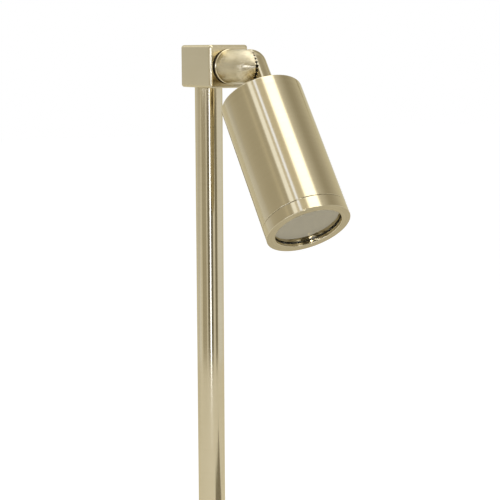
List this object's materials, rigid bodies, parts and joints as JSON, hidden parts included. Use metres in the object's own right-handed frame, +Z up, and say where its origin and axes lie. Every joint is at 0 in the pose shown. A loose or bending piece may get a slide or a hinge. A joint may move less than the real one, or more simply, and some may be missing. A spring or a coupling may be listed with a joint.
{
  "type": "path light",
  "caption": "Satin brass garden path light: a slim cylindrical spotlight on a toothed tilting knuckle, carried by a square block on a round pole with a ground spike.",
  "frame": {"origin": "on the pole's axis at the ground line, which is the top face of the spike's flange", "axes": "+Z up along the pole, the knuckle and lamp reach out along -Y, the tilt axis lies along X, and the cable comes in from +Y"},
  "size_m": [0.06, 0.2035, 0.69],
  "materials": {
    "brass": "satin, turned and brushed",
    "spike_plastic": "fine moulded texture",
    "seal_rubber": "matt",
    "steel": "bright zinc",
    "lead_sheath": "smooth sheath",
    "wire_sheath": "silicone sleeve",
    "holder_ceramic": "white ceramic, half glazed",
    "lamp_casing": "satin cast",
    "lamp_diffuser": "frosted, off",
    "light_source": "phosphor on a white board",
    "glass": "clear, flat"
  },
  "bodies": {
    "stand": {"ground_spike": "spike_plastic", "cable_grommet": "seal_rubber", "lock_nut": "brass", "pole": "brass", "lamp_block": "brass", "grub_screw": "steel", "supply_lead": "lead_sheath"},
    "knuckle": {"knuckle_seal": "seal_rubber", "knuckle_base": "brass", "clamp_screw": "steel", "clamp_washer": "steel"},
    "head": {"knuckle_head": "brass", "head_seal": "seal_rubber", "head_shell": "brass", "stem_nut": "brass", "holder_posts": "steel", "holder_plate": "steel", "holder_screws": "steel", "lamp_holder": "holder_ceramic", "lamp_body": "lamp_casing", "lamp_pins": "steel", "lamp_lens": "lamp_diffuser", "led_module": "light_source", "head_wires": "wire_sheath"},
    "lens": {"lens_glass": "glass", "lens_gasket": "seal_rubber"},
    "ring": {"front_ring": "brass", "ring_seal": "seal_rubber"}
  },
  "joints": [
    {"name": "knuckle_swivel", "type": "hinge", "parent": "stand", "child": "knuckle", "pos_m": [0, -0.035, 0.484], "axis": [0, -1, 0], "range_deg": [-175, 175]},
    {"name": "head_tilt", "type": "hinge", "parent": "knuckle", "child": "head", "pos_m": [0, -0.0675, 0.484], "axis": [-1, 0, 0], "range_deg": [-38, 142]},
    {"name": "lens_slide", "type": "slide", "parent": "head", "child": "lens", "axis": [0, -0.6157, -0.788], "range_m": [0, 0.00901]},
    {"name": "ring_unscrew", "type": "hinge", "parent": "lens", "child": "ring", "pos_m": [0, -0.0675, 0.484], "axis": [0, -0.6157, -0.788], "range_deg": [0, 2160]}
  ],
  "couplings": [
    {"joint": "lens_slide", "follows": "ring_unscrew", "m_per_rad": 0.00023873}
  ]
}
